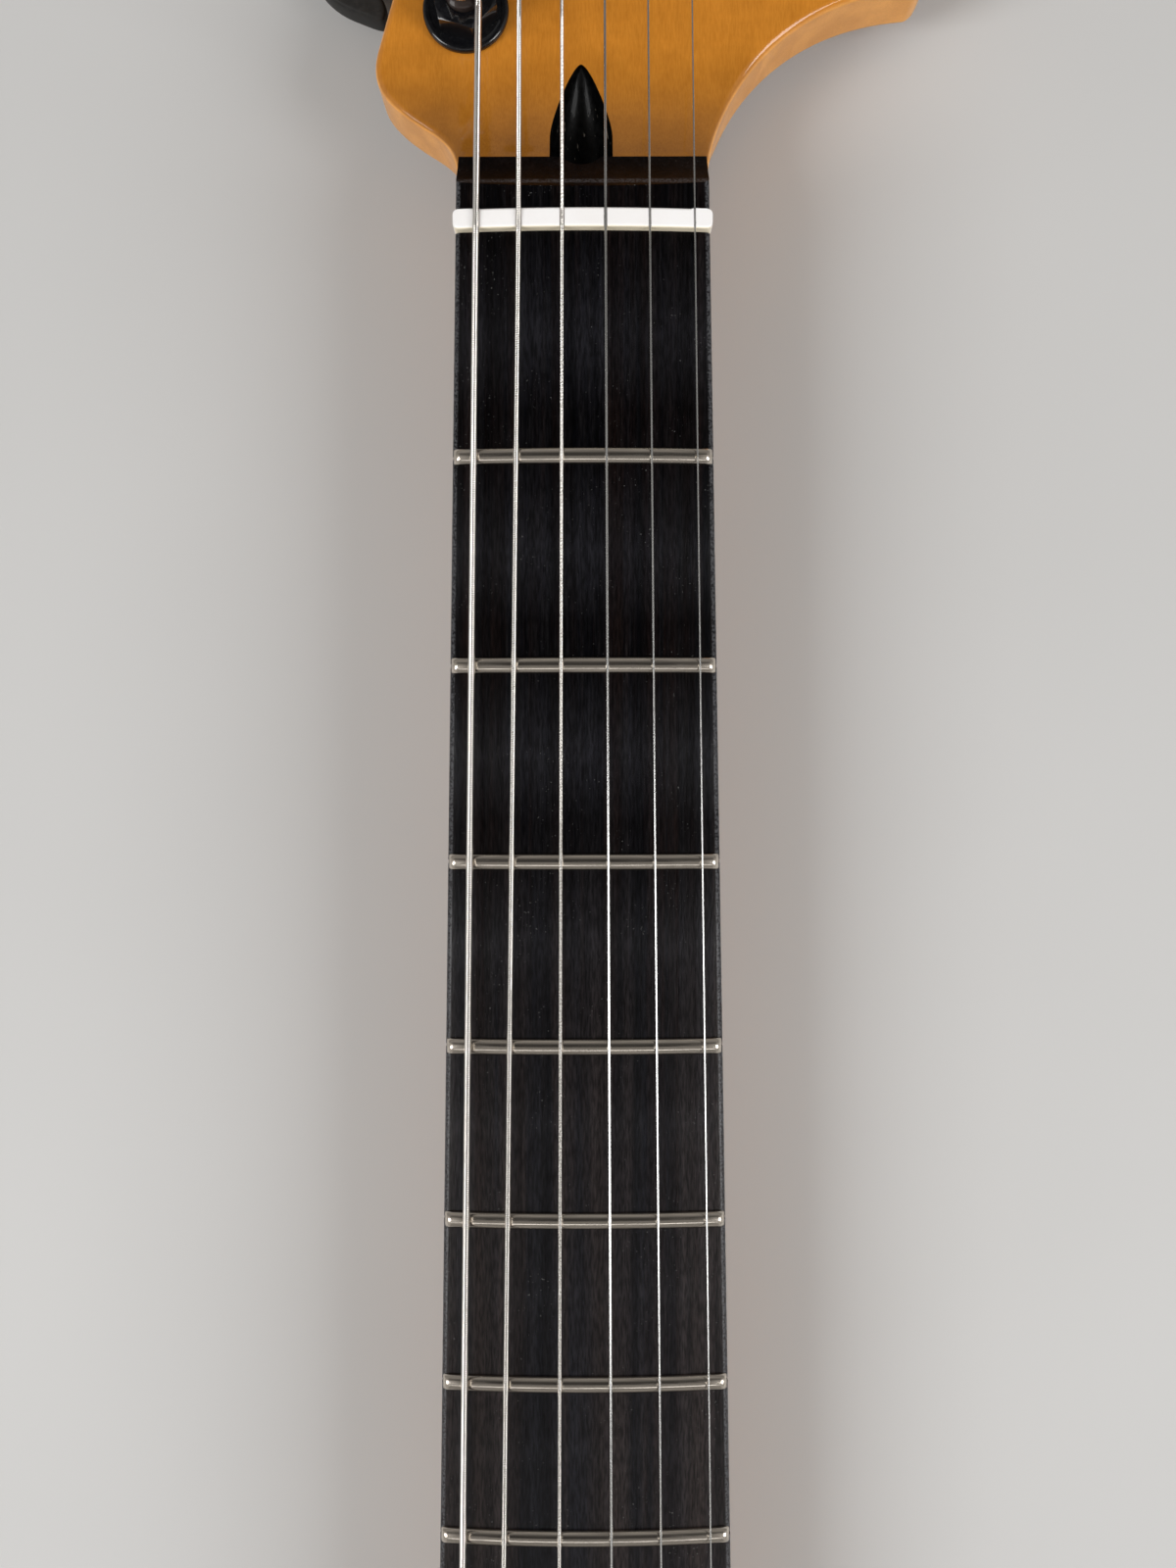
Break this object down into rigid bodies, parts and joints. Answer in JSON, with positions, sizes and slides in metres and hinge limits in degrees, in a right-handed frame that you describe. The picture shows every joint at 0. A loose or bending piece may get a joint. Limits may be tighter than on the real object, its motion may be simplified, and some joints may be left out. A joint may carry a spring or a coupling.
{
  "type": "electric guitar neck",
  "caption": "Bolt-on electric guitar neck with fretboard, frets, nut, truss rod, strings and worm-gear tuning machines that turn.",
  "frame": {"origin": "centre of the heel screw pattern on the flat back of the heel", "axes": "+Z out of the fingerboard, +Y from the heel to the headstock, +X to the treble side"},
  "size_m": [0.1102, 0.6757, 0.0422],
  "materials": {
    "maple": "amber tinted gloss lacquer",
    "board": "oiled satin",
    "bone": "polished, faintly yellow at the front lip",
    "nickel": "polished nickel silver",
    "string": "nickel wound and plain steel wire",
    "steel": "plain steel",
    "brass": "machined",
    "post_black": "dark brown-black plating",
    "gloss_black": "gloss black",
    "satin_black": "satin"
  },
  "bodies": {
    "neck": {"neck_shaft": "maple", "fretboard": "board", "nut": "bone", "fret_01": "nickel", "fret_02": "nickel", "fret_03": "nickel", "fret_04": "nickel", "fret_05": "nickel", "fret_06": "nickel", "fret_07": "nickel", "fret_08": "nickel", "fret_09": "nickel", "fret_10": "nickel", "fret_11": "nickel", "fret_12": "nickel", "fret_13": "nickel", "fret_14": "nickel", "fret_15": "nickel", "fret_16": "nickel", "fret_17": "nickel", "fret_18": "nickel", "fret_19": "nickel", "fret_20": "nickel", "fret_21": "nickel", "fret_22": "nickel", "truss_rod_bar": "steel", "tuner_1_housing": "gloss_black", "tuner_1_bushing": "gloss_black", "string_1": "string", "tuner_2_housing": "gloss_black", "tuner_2_bushing": "gloss_black", "string_2": "string", "tuner_3_housing": "gloss_black", "tuner_3_bushing": "gloss_black", "string_3": "string", "tuner_4_housing": "gloss_black", "tuner_4_bushing": "gloss_black", "string_4": "string", "tuner_5_housing": "gloss_black", "tuner_5_bushing": "gloss_black", "string_5": "string", "tuner_6_housing": "gloss_black", "tuner_6_bushing": "gloss_black", "string_6": "string", "string_tree_1": "gloss_black", "string_tree_2": "gloss_black"},
    "rod_adjuster": {"truss_rod_nut": "brass", "truss_rod": "steel"},
    "button_1": {"tuner_1_button": "satin_black"},
    "post_1": {"tuner_1_post": "post_black"},
    "button_2": {"tuner_2_button": "satin_black"},
    "post_2": {"tuner_2_post": "post_black"},
    "button_3": {"tuner_3_button": "satin_black"},
    "post_3": {"tuner_3_post": "post_black"},
    "button_4": {"tuner_4_button": "satin_black"},
    "post_4": {"tuner_4_post": "post_black"},
    "button_5": {"tuner_5_button": "satin_black"},
    "post_5": {"tuner_5_post": "post_black"},
    "button_6": {"tuner_6_button": "satin_black"},
    "post_6": {"tuner_6_post": "post_black"}
  },
  "joints": [
    {"name": "truss_rod_adjust", "type": "hinge", "parent": "neck", "child": "rod_adjuster", "pos_m": [-0.00025, 0.4097, 0.015], "axis": [0, 1, 0], "range_deg": [-360, 360]},
    {"name": "button_turn_1", "type": "hinge", "parent": "neck", "child": "button_1", "pos_m": [-0.01707, 0.47032, -0.0059], "axis": [-0.9613, 0.2756, 0], "continuous": true},
    {"name": "post_turn_1", "type": "hinge", "parent": "neck", "child": "post_1", "pos_m": [-0.0198, 0.4608, 0], "axis": [0, 0, 1], "continuous": true, "deforming": ["string_1"]},
    {"name": "button_turn_2", "type": "hinge", "parent": "neck", "child": "button_2", "pos_m": [-0.01001, 0.49492, -0.0059], "axis": [-0.9613, 0.2756, 0], "continuous": true},
    {"name": "post_turn_2", "type": "hinge", "parent": "neck", "child": "post_2", "pos_m": [-0.01274, 0.48541, 0], "axis": [0, 0, 1], "continuous": true, "deforming": ["string_2"]},
    {"name": "button_turn_3", "type": "hinge", "parent": "neck", "child": "button_3", "pos_m": [-0.00296, 0.51953, -0.0059], "axis": [-0.9613, 0.2756, 0], "continuous": true},
    {"name": "post_turn_3", "type": "hinge", "parent": "neck", "child": "post_3", "pos_m": [-0.00569, 0.51002, 0], "axis": [0, 0, 1], "continuous": true, "deforming": ["string_3"]},
    {"name": "button_turn_4", "type": "hinge", "parent": "neck", "child": "button_4", "pos_m": [0.0041, 0.54414, -0.0059], "axis": [-0.9613, 0.2756, 0], "continuous": true},
    {"name": "post_turn_4", "type": "hinge", "parent": "neck", "child": "post_4", "pos_m": [0.00137, 0.53462, 0], "axis": [0, 0, 1], "continuous": true, "deforming": ["string_4"]},
    {"name": "button_turn_5", "type": "hinge", "parent": "neck", "child": "button_5", "pos_m": [0.01115, 0.56875, -0.0059], "axis": [-0.9613, 0.2756, 0], "continuous": true},
    {"name": "post_turn_5", "type": "hinge", "parent": "neck", "child": "post_5", "pos_m": [0.00843, 0.55923, 0], "axis": [0, 0, 1], "continuous": true, "deforming": ["string_5"]},
    {"name": "button_turn_6", "type": "hinge", "parent": "neck", "child": "button_6", "pos_m": [0.01821, 0.59336, -0.0059], "axis": [-0.9613, 0.2756, 0], "continuous": true},
    {"name": "post_turn_6", "type": "hinge", "parent": "neck", "child": "post_6", "pos_m": [0.01548, 0.58384, 0], "axis": [0, 0, 1], "continuous": true, "deforming": ["string_6"]}
  ],
  "couplings": [
    {"joint": "post_turn_1", "follows": "button_turn_1", "ratio": 0.055556},
    {"joint": "post_turn_2", "follows": "button_turn_2", "ratio": 0.055556},
    {"joint": "post_turn_3", "follows": "button_turn_3", "ratio": 0.055556},
    {"joint": "post_turn_4", "follows": "button_turn_4", "ratio": 0.055556},
    {"joint": "post_turn_5", "follows": "button_turn_5", "ratio": 0.055556},
    {"joint": "post_turn_6", "follows": "button_turn_6", "ratio": 0.055556}
  ]
}
